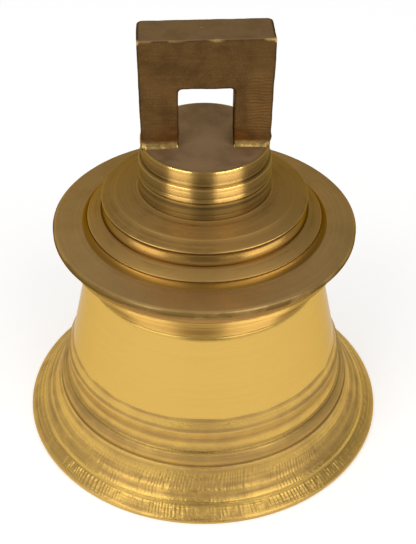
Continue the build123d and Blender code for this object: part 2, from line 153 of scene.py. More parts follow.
def edge_wear(points, reach=1.0):
    """How sharply the closed profile turns near each point: above 0 outside corners, below 0 grooves."""
    ahead = np.roll(points, -1, axis=0)
    step = np.hypot(*(ahead - points).T)
    along = np.concatenate([[0], np.cumsum(step)])
    total = along[-1]
    loop = np.concatenate([points, points[:1]])

    def at(s):
        s = np.mod(s, total)
        return np.stack([np.interp(s, along, loop[:, 0]), np.interp(s, along, loop[:, 1])], -1)

    before, after = at(along[:-1] - reach) - points, at(along[:-1] + reach) - points
    tangent = after - before
    outward = np.stack([tangent[:, 1], -tangent[:, 0]], -1)
    outward /= np.hypot(*outward.T)[:, None] + 1e-9
    return -((before + after) * outward).sum(1) / (2 * reach)


def set_attribute(mesh, name, values):
    """Stores one number for each vertex, for the materials to read."""
    attribute = mesh.attributes.new(name, "FLOAT", "POINT")
    attribute.data.foreach_set("value", np.asarray(values, np.float32))


def stands_for(piece, node, body="bell"):
    """Puts a piece in place of a CAD node, on the node's body."""
    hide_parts(node)
    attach(piece, body)


def turned(name, node, outline, material, segments=360, step=1.5, fine=(), lift=None, dense=None,
           dull=None, top=None, body="bell"):
    """A closed ring turned from an outline, in place of a CAD node.

    lift(theta, r, z) raises a row's vertices off the profile; dense is (row test, factor)
    for rows that have factor times as many segments; dull(theta, r, z) goes from 0, the
    material's smoother finish, to 1, its rougher one; top is (height, material) for the
    faces above that height.
    """
    points = outline.sampled(step, fine=fine)
    ahead = np.roll(points, -1, axis=0)
    if np.sum(points[:, 0] * ahead[:, 1] - ahead[:, 0] * points[:, 1]) < 0:
        points = points[::-1]
    wear = edge_wear(points)
    wear[points[:, 0] < 0.05] = 0
    counts = np.where(points[:, 0] < 0.05, 1, segments)
    if dense:
        row_test, factor = dense
        counts[row_test(points)] *= factor
    tangent = np.roll(points, -1, axis=0) - np.roll(points, 1, axis=0)
    normal = np.stack([tangent[:, 1], -tangent[:, 0]], -1)
    normal /= np.hypot(*normal.T)[:, None]
    vertices = []
    for (r, z), (normal_r, normal_z), count in zip(points, normal, counts):
        theta = np.linspace(0, 2 * pi, count, endpoint=False)
        off = lift(theta, r, z) if lift else 0.0
        ring_r = r + off * normal_r
        ring_z = np.broadcast_to(z + off * normal_z, theta.shape)
        vertices.append(np.stack([ring_r * np.cos(theta), ring_r * np.sin(theta), ring_z], -1))
    starts = np.concatenate([[0], np.cumsum(counts)])
    faces = []
    for row in range(len(points)):
        above = (row + 1) % len(points)
        few = min(counts[row], counts[above])
        if counts[row] == counts[above] == 1:
            continue
        if few == 1:
            tip, ring = (row, above) if counts[row] == 1 else (above, row)
            winding = 1 if tip == above else -1
            for k in range(counts[ring]):
                triangle = [starts[tip], starts[ring] + k, starts[ring] + (k + 1) % counts[ring]]
                faces.append(triangle[::winding])
            continue
        sides = []
        for ring in (row, above):
            share = counts[ring] // few
            spans = [range(i * share, (i + 1) * share + 1) for i in range(few)]
            sides.append([[starts[ring] + k % counts[ring] for k in span] for span in spans])
        faces += [low + high[::-1] for low, high in zip(*sides)]
    mesh = bpy.data.meshes.new(name)
    mesh.from_pydata((np.concatenate(vertices) * MM).tolist(), [], faces)
    mesh.shade_smooth()
    set_attribute(mesh, "wear", np.repeat(np.clip(wear, -1, 1), counts))
    dullness = []
    for (r, z), count in zip(points, counts):
        theta = np.linspace(0, 2 * pi, count, endpoint=False)
        dullness.append(np.broadcast_to(dull(theta, r, z) if dull else 0.0, count))
    set_attribute(mesh, "dull", np.concatenate(dullness))
    mesh.materials.append(material)
    if top:
        top_z, top_material = top
        mesh.materials.append(top_material)
        for face in mesh.polygons:
            face.material_index = int(face.center.z > top_z * MM)
    piece = bpy.data.objects.new(name, mesh)
    bpy.context.collection.objects.link(piece)
    stands_for(piece, node, body)
    return piece


# ---------------------------------------------------------------- materials


class Nodes:
    """A node tree, with short calls for the nodes used here."""

    def __init__(self, owner):
        owner.use_nodes = True
        self.owner = owner
        self.tree = owner.node_tree
        self.shader = self.tree.nodes.get("Principled BSDF")

    def add(self, kind, **settings):
        node = self.tree.nodes.new(kind)
        for key, value in settings.items():
            setattr(node, key, value)
        return node

    def link(self, source, target):
        """source is an output socket or a number."""
        if hasattr(source, "is_output"):
            self.tree.links.new(source, target)
        else:
            target.default_value = source

    def math(self, operation, a, b=0.0, clamp=False):
        node = self.add("ShaderNodeMath", operation=operation, use_clamp=clamp)
        self.link(a, node.inputs[0])
        self.link(b, node.inputs[1])
        return node.outputs[0]

    def hypotenuse(self, x, y):
        squares = self.math("ADD", self.math("MULTIPLY", x, x), self.math("MULTIPLY", y, y))
        return self.math("SQRT", squares)

    def ramp(self, value, low, high, out_low=0.0, out_high=1.0):
        """value from low..high to out_low..out_high, clamped, with soft ends."""
        node = self.add("ShaderNodeMapRange", interpolation_type="SMOOTHSTEP")
        self.link(value, node.inputs["Value"])
        sockets = ("From Min", "From Max", "To Min", "To Max")
        for socket, number in zip(sockets, (low, high, out_low, out_high)):
            node.inputs[socket].default_value = number
        return node.outputs["Result"]

    def mix(self, factor, a, b):
        """A colour between a and b; each is a socket or an (r, g, b) tuple."""
        node = self.add("ShaderNodeMix", data_type="RGBA")
        self.link(factor, node.inputs["Factor"])
        for source, socket in ((a, node.inputs["A"]), (b, node.inputs["B"])):
            self.link((*source, 1.0) if isinstance(source, tuple) else source, socket)
        return node.outputs["Result"]

    def noise(self, vector, scale, detail=2.0, w=None, roughness=0.5):
        node = self.add("ShaderNodeTexNoise", noise_dimensions="3D" if w is None else "4D")
        self.link(vector, node.inputs["Vector"])
        if w is not None:
            self.link(w, node.inputs["W"])
        node.inputs["Scale"].default_value = scale
        node.inputs["Detail"].default_value = detail
        node.inputs["Roughness"].default_value = roughness
        return node.outputs["Fac"]

    def bump(self, height, distance, strength=1.0, after=None):
        node = self.add("ShaderNodeBump")
        node.inputs["Strength"].default_value = strength
        node.inputs["Distance"].default_value = distance
        self.link(height, node.inputs["Height"])
        if after is not None:
            self.link(after, node.inputs["Normal"])
        return node.outputs["Normal"]


def around_axis(nodes, fineness, turns):
    """Coordinates for marks left by turning: fine across the profile, slow round the axis."""
    position = nodes.add("ShaderNodeTexCoord").outputs["Object"]
    split = nodes.add("ShaderNodeSeparateXYZ")
    nodes.link(position, split.inputs[0])
    x, y, z = split.outputs
    radius = nodes.hypotenuse(x, y)
    safe_radius = nodes.math("MAXIMUM", radius, 1e-5)
    joined = nodes.add("ShaderNodeCombineXYZ")
    nodes.link(nodes.math("MULTIPLY", radius, fineness), joined.inputs[0])
    nodes.link(nodes.math("MULTIPLY", z, fineness), joined.inputs[1])
    nodes.link(nodes.math("MULTIPLY", nodes.math("DIVIDE", x, safe_radius), turns), joined.inputs[2])
    w = nodes.math("MULTIPLY", nodes.math("DIVIDE", y, safe_radius), turns)
    return position, joined.outputs[0], w


def scaled(colour, factor):
    """A colour made darker or lighter."""
    return tuple(min(1.0, channel * factor) for channel in colour)


RUBBED_GOLD = (0.72, 0.46, 0.13)


def brass(name, bright, dulled, roughness, dull_roughness=0.45, clouds=0.3, lines=0.3, line_depth=0.00002,
          grain_depth=0.00001, anisotropy=0.5, grime=0.45, rubbed=0.35, unevenness=0.00006,
          pitting=0.0, edge_tint=(0.75, 0.62, 0.42)):
    """Turned brass: lathe lines, cloudy tarnish, dark grooves and rubbed edges.

    The mesh's dull attribute goes from 0, bright with roughness, to 1, dulled with
    dull_roughness, and clouds and lines are how far tarnish strays from it.  Its wear
    attribute says where edges are rubbed and grooves hold grime.  Depths of bumps are metres.
    """
    nodes = Nodes(bpy.data.materials.new(name))
    position, turned_at, w = around_axis(nodes, 1500.0, 0.7)
    fine_lines = nodes.noise(turned_at, 1.0, 3.0, w, 0.6)
    broad_lines = nodes.noise(turned_at, 0.22, 2.0, w)
    cloud = nodes.noise(position, 45.0, 4.0, roughness=0.6)
    grain = nodes.noise(position, 1100.0, 3.0, roughness=0.6)
    wear = nodes.add("ShaderNodeAttribute", attribute_name="wear").outputs["Fac"]
    dull = nodes.add("ShaderNodeAttribute", attribute_name="dull").outputs["Fac"]

    # how far the surface has gone from bright to dulled; tarnish hardly shows where it is bright
    uneven = nodes.math("ADD", nodes.ramp(cloud, 0.35, 0.68, -clouds, clouds),
                        nodes.ramp(broad_lines, 0.36, 0.64, -lines, lines))
    uneven = nodes.math("MULTIPLY", uneven, nodes.ramp(dull, 0.0, 0.5, 0.05, 1.0))
    speckle = nodes.ramp(grain, 0.45, 0.75, 0.0, 0.12)
    amount = nodes.math("ADD", nodes.math("ADD", dull, uneven), speckle, clamp=True)
    surface = nodes.mix(amount, bright, dulled)
    surface = nodes.mix(nodes.ramp(wear, -0.03, -0.25, 0.0, grime), surface, scaled(dulled, 0.35))
    surface = nodes.mix(nodes.ramp(wear, 0.06, 0.35, 0.0, rubbed), surface, RUBBED_GOLD)
    nodes.link(surface, nodes.shader.inputs["Base Color"])

    rough = nodes.ramp(amount, 0.0, 1.0, roughness, dull_roughness)
    rough = nodes.math("MULTIPLY", rough, nodes.ramp(fine_lines, 0.3, 0.7, 0.85, 1.15))
    rough = nodes.math("MULTIPLY", rough, nodes.ramp(wear, 0.06, 0.35, 1.0, 0.7))
    nodes.link(rough, nodes.shader.inputs["Roughness"])
    line_height = nodes.math("ADD", fine_lines, nodes.math("MULTIPLY", broad_lines, 2.0))
    line_height = nodes.math("MULTIPLY", line_height, nodes.ramp(dull, 0.0, 0.5, 0.04, 1.0))
    normal = nodes.bump(line_height, line_depth)
    normal = nodes.bump(grain, grain_depth, after=normal)
    normal = nodes.bump(nodes.noise(position, 160.0, 2.0), unevenness, after=normal)
    if pitting:
        pits = nodes.noise(position, 560.0, 3.0, roughness=0.7)
        pits = nodes.math("MULTIPLY", pits, nodes.ramp(dull, 0.1, 0.4))
        normal = nodes.bump(pits, pitting, after=normal)
    nodes.link(normal, nodes.shader.inputs["Normal"])

    nodes.shader.inputs["Metallic"].default_value = 1.0
    nodes.shader.inputs["Specular Tint"].default_value = (*edge_tint, 1)
    nodes.shader.inputs["Anisotropic"].default_value = anisotropy
    nodes.shader.inputs["Anisotropic Rotation"].default_value = 0.25
    tangent = nodes.add("ShaderNodeTangent", direction_type="RADIAL", axis="Z")
    nodes.link(tangent.outputs[0], nodes.shader.inputs["Tangent"])
    return nodes.owner


def cast_brass(name, side, top, roughness):
    """Filed and handled casting: dark brown sides, paler tops, and file marks across it.

    The mesh's dull attribute says how much it is filed, and its wear attribute where it is
    rubbed bright, partly as a painted highlight, above 0, or painted dark as shade, below 0.
    """
    nodes = Nodes(bpy.data.materials.new(name))
    position = nodes.add("ShaderNodeTexCoord").outputs["Object"]
    facing = nodes.add("ShaderNodeSeparateXYZ")
    nodes.link(nodes.add("ShaderNodeNewGeometry").outputs["Normal"], facing.inputs[0])
    cloud = nodes.noise(position, 90.0, 5.0, roughness=0.65)
    grain = nodes.noise(position, 1300.0, 3.0, roughness=0.65)
    stretched = nodes.add("ShaderNodeMapping")
    stretched.inputs["Scale"].default_value = (60.0, 60.0, 760.0)
    nodes.link(position, stretched.inputs["Vector"])
    marks = nodes.noise(stretched.outputs[0], 1.0, 2.0)
    file_strokes = nodes.add("ShaderNodeTexWave", bands_direction="Z")
    nodes.link(position, file_strokes.inputs["Vector"])
    for socket, value in (("Scale", 190.0), ("Distortion", 6.0), ("Detail", 2.0), ("Detail Scale", 0.6)):
        file_strokes.inputs[socket].default_value = value
    file_marks = file_strokes.outputs["Fac"]
    filing = nodes.add("ShaderNodeAttribute", attribute_name="dull").outputs["Fac"]
    wear = nodes.add("ShaderNodeAttribute", attribute_name="wear").outputs["Fac"]

    upward = nodes.ramp(facing.outputs["Z"], 0.6, 0.92)
    surface = nodes.mix(upward, side, top)
    shade = nodes.ramp(cloud, 0.4, 0.68, 0.0, 0.5)
    shade = nodes.math("MULTIPLY", shade, nodes.ramp(upward, 0.0, 1.0, 1.0, 0.45))
    surface = nodes.mix(shade, surface, scaled(side, 0.62))
    surface = nodes.mix(nodes.ramp(grain, 0.5, 0.72, 0.0, 0.14), surface, scaled(top, 1.1))
    surface = nodes.mix(nodes.ramp(marks, 0.5, 0.66, 0.0, 0.2), surface, scaled(side, 1.6))
    filed = nodes.math("MULTIPLY", file_marks, filing)
    surface = nodes.mix(nodes.ramp(filing, 0.1, 0.9, 0.0, 0.35), surface, scaled(side, 1.8))
    surface = nodes.mix(nodes.ramp(filed, 0.4, 0.95, 0.0, 0.3), surface, scaled(side, 2.1))
    # painted shade: the lug's darkened edges, front outline, slot sides and inside corners
    surface = nodes.mix(nodes.ramp(wear, -0.02, -0.15, 0.0, 0.7), surface, scaled(side, 0.35))
    # rubbed edges and beads, partly a painted highlight
    rubbed = nodes.math("MULTIPLY", nodes.ramp(wear, 0.08, 0.3), nodes.ramp(cloud, 0.62, 0.42, 0.2, 0.8))
    surface = nodes.mix(rubbed, surface, (0.7, 0.46, 0.15))
    nodes.link(surface, nodes.shader.inputs["Base Color"])
    rough = nodes.math("ADD", nodes.ramp(cloud, 0.35, 0.7, roughness * 0.85, roughness * 1.2),
                       nodes.ramp(facing.outputs["Z"], 0.6, 0.92, 0.0, 0.12))
    nodes.link(nodes.math("SUBTRACT", rough, nodes.ramp(wear, 0.06, 0.3, 0.0, 0.15)),
               nodes.shader.inputs["Roughness"])
    normal = nodes.bump(marks, 0.00008)
    normal = nodes.bump(filed, 0.0001, after=normal)
    normal = nodes.bump(grain, 0.000014, after=normal)
    normal = nodes.bump(cloud, 0.00025, after=normal)
    nodes.link(normal, nodes.shader.inputs["Normal"])
    nodes.shader.inputs["Specular Tint"].default_value = (0.5, 0.38, 0.22, 1)
    nodes.shader.inputs["Metallic"].default_value = 1.0
    return nodes.owner


shell_brass = brass(
    "shell_brass", (0.665, 0.42, 0.099), (0.45, 0.282, 0.097), 0.23, dull_roughness=0.6,
    clouds=0.14, lines=0.36, line_depth=0.000022, grain_depth=0.000014, pitting=0.0002,
    edge_tint=(0.85, 0.75, 0.55),
)
shoulder_brass = brass(
    "shoulder_brass", (0.56, 0.355, 0.09), (0.36, 0.21, 0.06), 0.4,
    clouds=0.15, lines=0.3, line_depth=0.00003, anisotropy=1.0,
)
# the upper step's wall, where the dull attribute is 0, takes the first colour, darker and more orange than
# the tops: painted shade
crown_brass = brass(
    "crown_brass", (0.24, 0.132, 0.032), (0.42, 0.252, 0.078), 0.3, dull_roughness=0.5,
    clouds=0.3, lines=0.24, grain_depth=0.00002, rubbed=0.1, edge_tint=(0.5, 0.4, 0.27),
)
# the lower step's wall: its saturated dark orange is a painted reflection of the flange top
step_wall_painted_reflection_brass = brass(
    "step_wall_painted_reflection_brass", (0.285, 0.144, 0.027), (0.285, 0.144, 0.027), 0.4,
    clouds=0.2, rubbed=0.1, edge_tint=(0.5, 0.36, 0.2),
)
flange_brass = brass(
    "flange_brass", (0.62, 0.39, 0.15), (0.2, 0.12, 0.036), 0.42, dull_roughness=0.7,
    clouds=0.28, lines=0.2, grain_depth=0.00002, rubbed=0.08, edge_tint=(0.26, 0.19, 0.1),
)
neck_brass = brass(
    "neck_brass", (0.315, 0.19, 0.053), (0.11, 0.064, 0.02), 0.42, dull_roughness=0.5,
    clouds=0.12, lines=0.4, line_depth=0.00004, anisotropy=1.0, grime=0.9, rubbed=0.15,
)
ball_brass = brass(
    "ball_brass", (0.62, 0.39, 0.105), (0.36, 0.215, 0.07), 0.26, clouds=0.25, lines=0.12,
)
hanger_brass = cast_brass("hanger_brass", (0.115, 0.06, 0.019), (0.355, 0.23, 0.122), 0.44)


def hardware(name, clean, stained, roughness, staining, bump_scale, bump_depth, spots):
    """Fasteners and forgings: stained in patches, finely scratched, spotted and slightly uneven."""
    nodes = Nodes(bpy.data.materials.new(name))
    position = nodes.add("ShaderNodeTexCoord").outputs["Object"]
    patches = nodes.noise(position, 140.0, 4.0, roughness=0.65)
    fine = nodes.noise(position, 900.0, 3.0, roughness=0.6)
    stretched = nodes.add("ShaderNodeMapping")
    stretched.inputs["Scale"].default_value = (250.0, 250.0, 2200.0)
    nodes.link(position, stretched.inputs["Vector"])
    scratches = nodes.noise(stretched.outputs[0], 1.0, 2.0)
    stain = nodes.math("ADD", nodes.ramp(patches, 0.42, 0.66, 0.0, staining),
                       nodes.ramp(scratches, 0.55, 0.7, 0.0, 0.25), clamp=True)
    surface = nodes.mix(stain, clean, stained)
    surface = nodes.mix(nodes.ramp(fine, 0.6, 0.72, 0.0, spots), surface, scaled(stained, 0.45))
    nodes.link(surface, nodes.shader.inputs["Base Color"])
    nodes.link(nodes.math("ADD", nodes.ramp(stain, 0.0, 1.0, roughness, roughness + 0.22),
                          nodes.ramp(fine, 0.4, 0.7, 0.0, 0.08)), nodes.shader.inputs["Roughness"])
    normal = nodes.bump(nodes.noise(position, bump_scale, 3.0), bump_depth)
    normal = nodes.bump(scratches, 0.00001, after=normal)
    nodes.link(normal, nodes.shader.inputs["Normal"])
    nodes.shader.inputs["Metallic"].default_value = 1.0
    return nodes.owner


steel = hardware("steel", (0.60, 0.58, 0.53), (0.33, 0.28, 0.20), 0.28, 0.6, 500.0, 0.00002, 0.5)
iron = hardware("iron", (0.16, 0.145, 0.13), (0.15, 0.075, 0.035), 0.5, 0.8, 170.0, 0.00025, 0.6)
bronze = hardware("bronze", (0.50, 0.28, 0.13), (0.20, 0.12, 0.06), 0.3, 0.7, 600.0, 0.00002, 0.4)

# ---------------------------------------------------------------- shell

SCRIBE_Z, SEAM_R = 96.3, 56.7    # a scribed line parts the polished cone from the shoulder
WEB_R, WEB_Z = 49.5, 108.0       # the flat ring that closes the shell's top: outside and underside
WAIST_TOP_R = 63.0
CROWN_HOLE_R = 36.0              # through the shell's top, the flange and the lower step
shell_outline = (
    Outline(91.0, 0)
    .to(LIP_R - 1.4, 0)
    .to(LIP_R, 1.4, bulge=0.42)
    .to(LIP_R - 0.1, 2.2)
    .to(LIP_R - 0.9, 3.0, corner=0.35)
    .to(93.6, 7.0, bulge=0.12)
    .to(92.9, 7.9, corner=0.6)
    .to(92.4, 8.9, corner=0.5)
    .to(82.2, 22.3, bulge=-1.15)
    .to(81.8, 23.2, corner=0.3)
    .to(80.9, 23.6, corner=0.25)
    .to(78.9, 29.8, bulge=0.95)
    .to(77.9, 30.2, corner=0.25)
    .to(77.25, 31.1, corner=0.3)
    .to(77.2, 32.2, corner=0.4)
    .to(76.25, 42.0, bulge=-0.6)
    .to(76.1, 42.9, corner=0.3)
    .to(75.4, 43.9, corner=0.5)
    .to(73.15, 49.2, corner=1.0)
    .to(WAIST_TOP_R, 95.6)
    .to(62.7, 95.9, corner=0.12)
    .to(62.85, SCRIBE_Z)
    .to(SEAM_R, SCRIBE_Z)
    .to(67.0, 47.0)
    .to(69.6, 33.0)
    .to(75.2, 22.0)
    .to(84.5, 9.0)
    .to(90.3, 0.9)
    .to(91.0, 0)
)


def ring_noise(lowest, highest):
    """A smooth random function of the angle round the bell, from about -1 to 1."""
    waves = np.arange(lowest, highest + 1)
    strength = rng.normal(size=len(waves)) / np.sqrt(len(waves))
    phase = rng.uniform(0, 2 * pi, len(waves))
    return lambda theta: (strength[:, None] * np.cos(waves[:, None] * theta + phase[:, None])).sum(0) * 1.4


def hump(value, low, high, soft):
    """1 between low and high, falling to 0 within soft outside them."""
    return np.clip(np.minimum(value - low, high - value) / soft + 1, 0, 1)


LIP_CHATTER, FLARE_CHATTER = 302, 310           # marks round the bell
LIP_RIDGE, FLARE_RIDGE, LOW_RIDGE = 0.12, 0.085, 0.06      # half their height, in millimetres
lip_patch, lip_drift, lip_wave = ring_noise(2, 14), ring_noise(3, 25), ring_noise(2, 9)
flare_patch, flare_drift, flare_step = ring_noise(4, 22), ring_noise(5, 45), ring_noise(3, 12)
flare_patch_2 = ring_noise(5, 30)


def dents(lowest, highest, upright):
    """Smooth random dents over the outside, from about -1 to 1.

    lowest and highest are their waves round the bell; upright is how fast they change up the wall.
    """
    around = rng.uniform(lowest, highest, 90).round()
    rising = rng.normal(0, upright, 90)
    phase = rng.uniform(0, 2 * pi, 90)
    return lambda theta, z: np.cos(around[:, None] * theta + (rising * z + phase)[:, None]).sum(0) / 7


flare_dents = dents(60, 170, 1.1)
broad_dents = dents(14, 60, 0.5)


def tool_chatter(theta, r, z):
    """Tool marks across the lip and, in patches, across the flare, over small dents."""
    lift = np.zeros_like(theta)
    if r < 82 or z > 24:
        return lift
    on_lip = hump(z, 3.7, 6.7, 0.5)
    if on_lip > 0:
        depth = np.clip(0.75 + 0.4 * lip_patch(theta), 0.35, 1.0) * on_lip
        ridges = np.sin(LIP_CHATTER * theta + 0.55 * (z - 5) + 2.6 * lip_drift(theta))
        depth *= 0.7 + 0.3 * flare_dents(theta, z)
        lift += LIP_RIDGE * depth * ridges
        lift += on_lip * (0.05 * lip_wave(theta) + 0.03 * flare_dents(theta, z))
    on_flare = hump(z, 13.8, 20.6, 1.4)
    if on_flare > 0:
        patch = flare_patch(theta) if z > 17 else flare_patch_2(theta)
        depth = np.clip(0.8 + 0.4 * patch, 0.45, 1.0) * on_flare
        ridges = np.sin(FLARE_CHATTER * theta - 0.8 * (z - 17) + 2.2 * flare_drift(theta))
        lift += depth * (FLARE_RIDGE * ridges + 0.035 * flare_dents(theta, z))
    dented = 0.035 * broad_dents(theta, z) + 0.016 * flare_dents(theta, z)
    lift += hump(z, 10.0, 21.0, 1.5) * dented
    low_flare = hump(z, 9.5, 12.0, 1.0)
    if low_flare > 0:
        ridges = np.sin(LIP_CHATTER * theta + 0.6 * z + 1.2 * flare_drift(theta))
        depth = np.clip(0.1 + 0.9 * flare_patch_2(theta), 0.0, 1.0)
        lift += low_flare * (0.05 * flare_step(theta) + LOW_RIDGE * depth * ridges)
    return lift


def shell_dull(theta, r, z):
    """The inside is dull and the cone polished; the mouldings, the flare and the lip are between."""
    inside = r < WAIST_TOP_R - 1 or z < 1 or (z < 95 and r < 92 - 0.6 * z)
    if inside:
        return 0.85
    polished = hump(z + 0.35 * lip_wave(3 * theta), 50.4, 96.0, 0.9)
    scribed = 0.45 * hump(z, 96.5, SHOULDER_Z, 1.0)
    moulding = 0.55 * hump(z, 23.0, 49.6, 0.8)
    flare = 0.42 * hump(z, 7.6, 22.5, 1.0)
    lip = max(0.34 * hump(z, 0.0, 7.0, 1.0), 0.6 * hump(z, -1.0, 1.4, 0.8))
    level = max(scribed, moulding, flare, lip) * (1 - polished)
    patches = 0.0 if z > 49 else 0.04 * broad_dents(theta, z) + 0.04 * lip_wave(2 * theta + z)
    return np.clip(level + patches, 0, 1)


def chattered(points):
    """Which rows of the profile lie on the outside of the lip or the flare."""
    r, z = points.T
    return (z > 3.1) & (z < 21.9) & (r > 99 - 0.9 * z)


turned(
    "bell_shell_turned", "bell_shell", shell_outline, shell_brass,
    segments=240,
    fine=((3.0, 7.2, 0.72), (8.6, 14.0, 1.4), (14.0, 22.3, 1.0), (22.3, 30.0, 1.2), (30.0, 105.0, 2.4)),
    lift=tool_chatter,
    dense=(chattered, 7),
    dull=shell_dull,
)

shoulder_outline = (
    Outline(62.75, SCRIBE_Z)
    .to(62.7, 97.4, corner=0.15)
    .to(63.7, 98.0, corner=0.25)
    .to(70.4, 109.9, bulge=-0.8)
    .to(71.9, 110.3, corner=0.3)
    .to(72.7, SHOULDER_Z - 0.2, bulge=0.3)
    .to(72.9, SHOULDER_Z)
    .to(WEB_R, SHOULDER_Z)
    .to(WEB_R, WEB_Z)
    .to(55.5, 102.0, bulge=-1.7)
    .to(SEAM_R, SCRIBE_Z)
    .to(62.75, SCRIBE_Z)
)
bell_shoulder = turned(
    "bell_shoulder", "bell_shell", shoulder_outline, shoulder_brass,
    segments=240, step=1.0, dull=lambda theta, r, z: 0.55 if r > 63 and z < 108 else 0.2,
)

# the flat ring that closes the shell's top, counterbored from inside for the six cap screws
SCREW_COUNT, SCREW_PITCH_R, SCREW_SEAT_Z = 6, 43.5, 110.0
COUNTERBORE_R, SCREW_HOLE_R = 5.5, 3.3


def cylinder_cut(piece, radius, z0, z1, x, y):
    """Cuts an upright round hole."""
    bpy.ops.mesh.primitive_cylinder_add(vertices=48, radius=radius * MM, depth=(z1 - z0) * MM,
                                        location=(x * MM, y * MM, (z0 + z1) / 2 * MM))
    cutter = bpy.context.object
    cut = piece.modifiers.new("hole", "BOOLEAN")
    cut.operation, cut.solver, cut.object = "DIFFERENCE", "EXACT", cutter
    bpy.context.view_layer.update()
    holed = piece.evaluated_get(bpy.context.evaluated_depsgraph_get())
    mesh = bpy.data.meshes.new_from_object(holed)
    piece.modifiers.clear()
    piece.data = mesh
    bpy.data.objects.remove(cutter)


web_outline = (
    Outline(CROWN_HOLE_R, WEB_Z + 0.4)
    .to(CROWN_HOLE_R + 0.4, WEB_Z)
    .to(WEB_R, WEB_Z)
    .to(WEB_R, SHOULDER_Z)
    .to(CROWN_HOLE_R, SHOULDER_Z)
    .to(CROWN_HOLE_R, WEB_Z + 0.4)
)
crown_web = turned(
    "crown_web", "bell_shell", web_outline, shell_brass,
    segments=144, step=4.0, dull=lambda theta, r, z: 0.85,
)
for screw in range(SCREW_COUNT):
    angle = 2 * pi * screw / SCREW_COUNT
    x, y = SCREW_PITCH_R * cos(angle), SCREW_PITCH_R * sin(angle)
    cylinder_cut(crown_web, COUNTERBORE_R, WEB_Z - 1, SCREW_SEAT_Z, x, y)
    cylinder_cut(crown_web, SCREW_HOLE_R, SCREW_SEAT_Z - 1, SHOULDER_Z + 1, x, y)
crown_web.data.shade_flat()
crown_web.data.set_sharp_from_angle(angle=radians(40))

# ---------------------------------------------------------------- crown rings

GROOVE_IN_R, GROOVE_OUT_R, GROOVE_TOP_Z = 50.0, 67.0, 120.5     # hidden, under the flange
RECESS_R, RECESS_Z = 30.0, 139.0            # pocket under the upper step, for the nut and the yoke
STUD_HOLE_R = 8.3
SPIGOT_R, NECK_BORE_R = 18.0, 18.2          # the hanger's spigot fills the neck rings

flange_outline = (
    Outline(CROWN_HOLE_R, SHOULDER_Z)
    .to(GROOVE_IN_R, SHOULDER_Z)
    .to(GROOVE_IN_R + 1.5, GROOVE_TOP_Z)
    .to(GROOVE_OUT_R - 1.5, GROOVE_TOP_Z)
    .to(GROOVE_OUT_R, SHOULDER_Z)
    .to(72.9, SHOULDER_Z, corner=0.2)
    .to(FLANGE_R - 0.3, 121.4, bulge=-0.8)
    .to(FLANGE_R, 121.7, corner=0.2)
    .to(FLANGE_R, 124.2)
    .to(FLANGE_R - 1.0, 125.1, bulge=0.25)
    .to(LOWER_STEP_R, FLANGE_Z)
    .to(CROWN_HOLE_R, FLANGE_Z)
    .to(CROWN_HOLE_R, SHOULDER_Z)
)


def flange_dull(theta, r, z):
    """The thin rim is dull; the underside and the top are smoother."""
    if z < 121.2:
        return 0.1
    return 1.0 if z < 124.6 else 0.15


turned("flange_ring", "shoulder_flange", flange_outline, flange_brass, dull=flange_dull)

lower_outline = (
    Outline(CROWN_HOLE_R, FLANGE_Z)
    .to(LOWER_STEP_R, FLANGE_Z, corner=0.15)
    .to(60.4, 129.0, bulge=-0.5)
    .to(60.75, 129.45, corner=0.25)
    .to(UPPER_STEP_R, LOWER_STEP_Z, bulge=0.15)
    .to(CROWN_HOLE_R, LOWER_STEP_Z)
    .to(CROWN_HOLE_R, FLANGE_Z)
)
lower_ring = turned(
    "lower_step_ring", "lower_step", lower_outline, step_wall_painted_reflection_brass,
    dull=lambda theta, r, z: 0.0 if z < 129.2 else 1.0, top=(129.3, crown_brass),
)

upper_outline = (
    Outline(RECESS_R, LOWER_STEP_Z)
    .to(UPPER_STEP_R, LOWER_STEP_Z, corner=0.15)
    .to(53.5, 135.0, bulge=0.06)
    .to(51.6, 138.9, bulge=0.12)
    .to(52.7, 139.8, bulge=-0.12)
    .to(53.2, 140.6, corner=0.5)
    .to(52.3, 141.3, corner=0.7)
    .to(46.6, 143.1)
    .to(46.0, 143.5, corner=0.3)
    .to(LOWER_NECK_R + 1.5, UPPER_STEP_Z - 0.05, bulge=0.1)
    .to(LOWER_NECK_R + 0.5, UPPER_STEP_Z + 0.5, corner=0.3)
    .to(LOWER_NECK_R - 0.6, UPPER_STEP_Z + 0.5)
    .to(LOWER_NECK_R - 0.7, UPPER_STEP_Z)
    .to(STUD_HOLE_R, UPPER_STEP_Z)
    .to(STUD_HOLE_R, RECESS_Z)
    .to(RECESS_R, RECESS_Z)
    .to(RECESS_R, LOWER_STEP_Z)
)
upper_ring = turned(
    "upper_step_ring", "upper_step", upper_outline, crown_brass,
    # the wall below 139.6 mm takes crown brass's darker colour, which is painted shade; the top takes the
    # paler one
    dull=lambda theta, r, z: 0.0 if z < 139.6 else 1.0,
)

neck_bands = []
for name, node, outer_r, z0, z1 in (
    ("neck_band_low", "lower_neck_ring", LOWER_NECK_R, UPPER_STEP_Z, NECK_SPLIT_Z),
    ("neck_band_high", "upper_neck_ring", UPPER_NECK_R, NECK_SPLIT_Z, BOSS_Z),
):
    band_outline = (
        Outline(NECK_BORE_R, z0)
        .to(outer_r - 0.9, z0)
        .to(outer_r, z0 + 0.5, corner=0.2)
        .to(outer_r, z0 + 2.7)
        .to(outer_r - 0.22, z0 + 2.9)
        .to(outer_r, z0 + 3.1)
        .to(outer_r - 0.05, z1 - 2.3)
        .to(outer_r - 0.2, z1 - 2.15)
        .to(outer_r - 0.05, z1 - 2.0)
        .to(outer_r - 0.15, z1 - 0.5, corner=0.2)
        .to(outer_r - 0.9, z1)
        .to(NECK_BORE_R, z1)
        .to(NECK_BORE_R, z0)
    )
    worn = 0.3 if z0 < NECK_SPLIT_Z else 0.22
    neck_bands.append(turned(
        name, node, band_outline, neck_brass,
        dull=lambda theta, r, z, worn=worn: worn,
    ))

# ---------------------------------------------------------------- hanger

